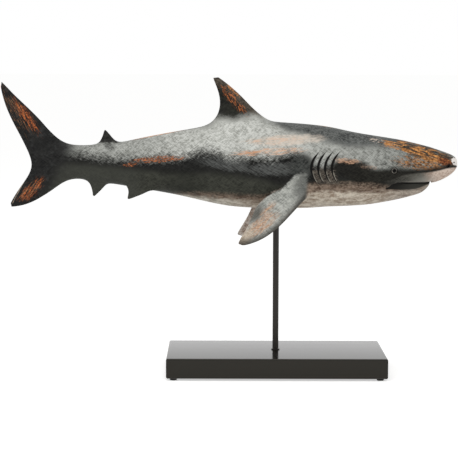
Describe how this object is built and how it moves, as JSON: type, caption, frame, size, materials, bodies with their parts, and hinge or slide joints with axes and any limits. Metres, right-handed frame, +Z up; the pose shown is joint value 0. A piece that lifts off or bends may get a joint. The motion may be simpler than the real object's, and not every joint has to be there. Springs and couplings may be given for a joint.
{
  "type": "shark figurine on a stand",
  "caption": "Cast resin shark with open gill slits and mouth, held level above a rounded rectangular base by a thin round rod.",
  "frame": {"origin": "on the standing surface, under the middle of the shark's length and width", "axes": "+X towards the snout, +Z up, the shark's near flank towards -Y; the shark and the base are symmetric about the XZ plane"},
  "size_m": [0.6, 0.165, 0.3887],
  "materials": {
    "resin": "satin, dry-brushed patina",
    "base_lacquer": "black satin lacquer",
    "dark_steel": "blackened, satin",
    "plated_steel": "zinc plated",
    "brass": "turned",
    "rubber": "matte"
  },
  "bodies": {
    "root": {"shark": "resin", "base": "base_lacquer", "rod": "dark_steel", "foot_collar": "dark_steel", "washer": "plated_steel", "nut": "plated_steel", "threaded_insert": "brass", "pad_front_left": "rubber", "pad_front_right": "rubber", "pad_rear_left": "rubber", "pad_rear_right": "rubber"}
  },
  "joints": []
}
